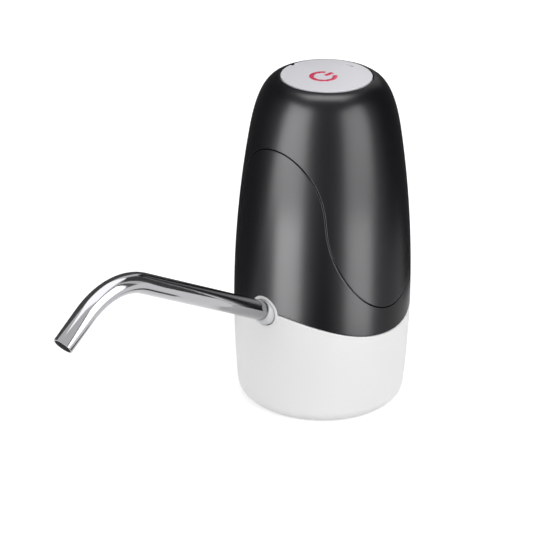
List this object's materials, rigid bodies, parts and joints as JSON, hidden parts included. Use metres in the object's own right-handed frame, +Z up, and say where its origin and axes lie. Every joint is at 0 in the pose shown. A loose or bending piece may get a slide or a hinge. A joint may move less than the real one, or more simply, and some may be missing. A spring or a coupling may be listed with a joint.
{
  "type": "electric water jug pump",
  "caption": "Tapered round electric pump that sits on a water jug's neck: press disc on top, bent steel spout at the side, neck socket below.",
  "frame": {"origin": "middle of the neck socket's mouth, in the plane of the bottom rim", "axes": "+Z up along the body's axis, +X towards the spout"},
  "size_m": [0.1915, 0.075, 0.1433],
  "materials": {
    "black_shell": "satin gloss",
    "white_base": "gloss",
    "silver_disc": "satin silver paint",
    "red_light": "gloss translucent",
    "pale_light": "gloss translucent",
    "grey_collar": "satin",
    "stainless": "polished stainless steel",
    "black_rubber": "matte",
    "pale_silicone": "satin",
    "screw_steel": "zinc plated",
    "shaft_steel": "ground",
    "can_steel": "plated",
    "magnet": "matte sintered",
    "bronze": "sintered",
    "copper": "lacquered",
    "gear_nylon": "matte",
    "grey_mould": "matte",
    "end_cap_plastic": "matte",
    "board_green": "solder mask",
    "chip_black": "matte",
    "led_lens": "translucent",
    "cell_wrap": "shrink wrap",
    "lead_red": "insulation"
  },
  "bodies": {
    "housing": {"upper_shell": "black_shell", "lower_shell": "black_shell", "base_shell": "white_base", "inlet_washer": "black_rubber", "pump_gasket": "black_rubber", "shaft_seal": "black_rubber", "neck_gasket": "pale_silicone", "inlet_hose": "pale_silicone", "outlet_hose": "pale_silicone", "base_screws": "screw_steel", "board_screws": "screw_steel", "pump_screws": "screw_steel", "pump_mount_screws": "screw_steel", "motor_screws": "screw_steel", "gear_pin": "shaft_steel", "motor_can": "can_steel", "usb_port": "can_steel", "battery_tabs": "can_steel", "motor_magnets": "magnet", "motor_bushes": "bronze", "motor_terminals": "bronze", "chassis": "grey_mould", "pump_body": "grey_mould", "pump_cover": "grey_mould", "spout_socket": "grey_mould", "socket_cap": "grey_mould", "inlet_fitting": "grey_mould", "motor_end_cap": "end_cap_plastic", "control_board": "board_green", "board_chips": "chip_black", "tact_switch": "chip_black", "indicator_leds": "led_lens", "battery_cell": "cell_wrap", "battery_leads": "lead_red", "motor_leads": "lead_red"},
    "button": {"power_button": "silver_disc", "power_icon": "red_light", "charge_window": "pale_light", "switch_plunger": "chip_black"},
    "rotor": {"motor_shaft": "shaft_steel", "armature": "copper", "commutator": "copper", "drive_gear": "gear_nylon"},
    "idler": {"driven_gear": "gear_nylon"},
    "swivel": {"spout_collar": "grey_collar", "swivel_o_ring": "black_rubber", "tube_o_ring": "black_rubber"},
    "spout": {"spout_tube": "stainless"}
  },
  "joints": [
    {"name": "button_press", "type": "slide", "parent": "housing", "child": "button", "axis": [0, 0, -1], "range_m": [0, 0.0008], "stiffness_N_per_m": 2500, "springref_m": -0.0004},
    {"name": "rotor_spin", "type": "hinge", "parent": "housing", "child": "rotor", "pos_m": [0.005, 0.0051, 0.09], "axis": [0, 0, 1], "continuous": true},
    {"name": "idler_spin", "type": "hinge", "parent": "housing", "child": "idler", "pos_m": [0.005, -0.0051, 0.07], "axis": [0, 0, 1], "continuous": true},
    {"name": "spout_swivel", "type": "hinge", "parent": "housing", "child": "swivel", "pos_m": [0.03748, 0, 0.0495], "axis": [0.8829, 0, 0.4695], "continuous": true},
    {"name": "spout_pull", "type": "slide", "parent": "swivel", "child": "spout", "axis": [0.8829, 0, 0.4695], "range_m": [0, 0.034]}
  ],
  "couplings": [
    {"joint": "idler_spin", "follows": "rotor_spin", "ratio": -1}
  ]
}
